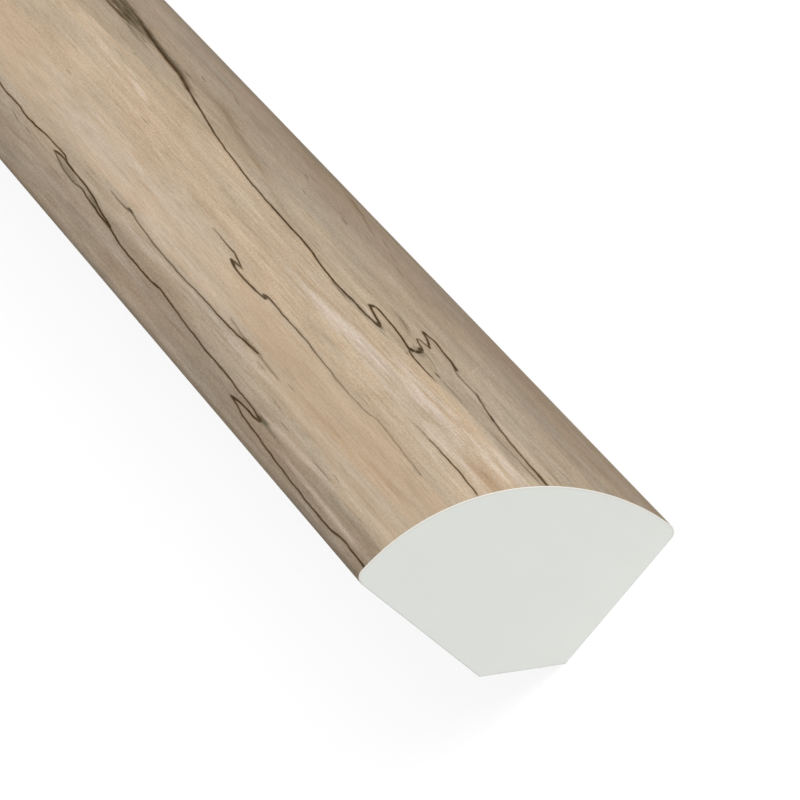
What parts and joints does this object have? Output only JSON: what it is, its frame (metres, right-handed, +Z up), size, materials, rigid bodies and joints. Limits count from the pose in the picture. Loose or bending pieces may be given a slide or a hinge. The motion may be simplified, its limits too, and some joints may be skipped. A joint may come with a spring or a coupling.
{
  "type": "quarter round moulding",
  "caption": "Straight quarter round floor moulding with two flat legs, a convex wood-grain film face, rounded noses and a cut-off heel.",
  "frame": {"origin": "middle of the moulding's footprint on the floor, half way along its length", "axes": "+X along the length, +Y into the wall behind it, +Z up; the convex face looks to -Y and +Z, and the end that the picture shows is at -X"},
  "size_m": [2.3876, 0.019, 0.019],
  "materials": {
    "grey_vinyl": "plain extruded and saw-cut vinyl, pale grey, matt",
    "wood_grain_film": "printed spalted-maple wood grain under a satin wear layer"
  },
  "bodies": {
    "root": {"vinyl_body": "grey_vinyl", "decor_film": "wood_grain_film"}
  },
  "joints": []
}
